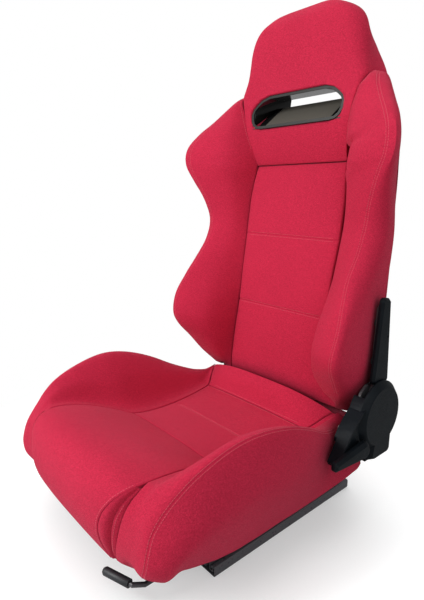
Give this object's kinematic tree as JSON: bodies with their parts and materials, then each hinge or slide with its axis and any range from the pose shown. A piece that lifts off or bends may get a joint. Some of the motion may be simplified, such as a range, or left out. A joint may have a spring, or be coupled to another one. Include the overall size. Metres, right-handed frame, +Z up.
{
  "type": "reclining bucket seat",
  "caption": "High-backed reclining bucket seat on slide rails, with bolstered cushion and back, a belt slot in the headrest, a recliner lever and a slide release bar.",
  "frame": {"origin": "centre of the floor bolt pattern, on the floor plane under the rails", "axes": "+X towards the recliner side, -Y the way the sitter faces, +Z up"},
  "size_m": [0.5546, 0.6752, 0.9842],
  "materials": {
    "seat_fabric": "knitted, soft sheen",
    "frame_steel": "satin black",
    "zinc_steel": "zinc plated",
    "spring_steel": "oiled",
    "cage_nylon": "matt",
    "cover_plastic": "fine grained satin",
    "bezel_plastic": "gloss",
    "grip_rubber": "matt"
  },
  "bodies": {
    "floor_rails": {"lower_rail_right": "frame_steel", "lower_rail_left": "frame_steel"},
    "seat_frame": {"seat_nose_pad": "seat_fabric", "seat_insert_pad": "seat_fabric", "seat_rear_pad": "seat_fabric", "cushion_tail": "seat_fabric", "seat_bolster_right": "seat_fabric", "seat_bolster_left": "seat_fabric", "corner_gusset_right": "seat_fabric", "corner_gusset_left": "seat_fabric", "upper_rail_right": "frame_steel", "upper_rail_left": "frame_steel", "side_member_right": "frame_steel", "side_member_left": "frame_steel", "front_cross_tube": "frame_steel", "rear_cross_tube": "frame_steel", "seat_pan": "frame_steel", "frame_bolts": "zinc_steel", "release_brackets": "frame_steel", "latch_pins": "zinc_steel", "release_spring": "spring_steel", "side_plate_right": "frame_steel", "side_plate_left": "frame_steel", "recliner_base": "frame_steel", "recliner_spacers": "zinc_steel", "recliner_fasteners": "zinc_steel", "pivot_bolt": "zinc_steel", "lever_spring": "spring_steel", "back_spring": "spring_steel", "recliner_cover": "cover_plastic", "left_bracket": "frame_steel"},
    "backrest": {"back_bolster_right": "seat_fabric", "back_bolster_left": "seat_fabric", "back_insert_pad": "seat_fabric", "back_head_pad": "seat_fabric", "back_rear_cover": "seat_fabric", "recliner_arm": "frame_steel", "arm_cover": "cover_plastic", "arm_bolts": "zinc_steel", "left_ear": "frame_steel", "left_pivot_bolt": "zinc_steel", "back_side_tube_right": "frame_steel", "back_side_tube_left": "frame_steel", "back_top_tube": "frame_steel", "back_cross_bars": "frame_steel", "back_wires": "spring_steel", "back_side_bracket": "frame_steel", "belt_bezel_front": "bezel_plastic", "belt_bezel_rear": "bezel_plastic"},
    "cage_right": {"slide_cage_right": "cage_nylon", "slide_balls_right": "zinc_steel"},
    "cage_left": {"slide_cage_left": "cage_nylon", "slide_balls_left": "zinc_steel"},
    "slide_release": {"release_shaft": "frame_steel", "release_rod": "frame_steel", "release_grip": "grip_rubber"},
    "latch_right": {"latch_right": "zinc_steel"},
    "latch_left": {"latch_left": "zinc_steel"},
    "recline_lever": {"lever_shaft": "zinc_steel", "recliner_lever": "cover_plastic"},
    "pawl": {"recliner_pawl": "zinc_steel"}
  },
  "joints": [
    {"name": "seat_slide", "type": "slide", "parent": "floor_rails", "child": "seat_frame", "axis": [0, 1, 0], "range_m": [-0.1, 0.1]},
    {"name": "cage_slide_right", "type": "slide", "parent": "floor_rails", "child": "cage_right", "axis": [0, 1, 0], "range_m": [-0.05, 0.05]},
    {"name": "cage_slide_left", "type": "slide", "parent": "floor_rails", "child": "cage_left", "axis": [0, 1, 0], "range_m": [-0.05, 0.05]},
    {"name": "back_recline", "type": "hinge", "parent": "seat_frame", "child": "backrest", "pos_m": [0, 0.152, 0.21], "axis": [1, 0, 0], "range_deg": [-50, 30]},
    {"name": "recline_lever_lift", "type": "hinge", "parent": "seat_frame", "child": "recline_lever", "pos_m": [0, 0.088, 0.166], "axis": [-1, 0, 0], "range_deg": [0, 22], "stiffness_Nm_per_rad": 1.5, "springref_deg": -28.65},
    {"name": "pawl_release", "type": "hinge", "parent": "seat_frame", "child": "pawl", "pos_m": [0, 0.124, 0.158], "axis": [1, 0, 0], "range_deg": [0, 4]},
    {"name": "slide_release_lift", "type": "hinge", "parent": "seat_frame", "child": "slide_release", "pos_m": [0, -0.06, 0.049], "axis": [-1, 0, 0], "range_deg": [0, 6], "stiffness_Nm_per_rad": 6, "springref_deg": -20.05},
    {"name": "latch_swing_right", "type": "hinge", "parent": "seat_frame", "child": "latch_right", "pos_m": [0.139, -0.06, 0.025], "axis": [0, 1, 0], "range_deg": [0, 12]},
    {"name": "latch_swing_left", "type": "hinge", "parent": "seat_frame", "child": "latch_left", "pos_m": [-0.139, -0.06, 0.025], "axis": [0, -1, 0], "range_deg": [0, 12]}
  ],
  "couplings": [
    {"joint": "cage_slide_right", "follows": "seat_slide", "ratio": 0.5},
    {"joint": "cage_slide_left", "follows": "seat_slide", "ratio": 0.5},
    {"joint": "pawl_release", "follows": "recline_lever_lift", "ratio": 0.1817},
    {"joint": "latch_swing_right", "follows": "slide_release_lift", "ratio": 2},
    {"joint": "latch_swing_left", "follows": "slide_release_lift", "ratio": 2}
  ]
}
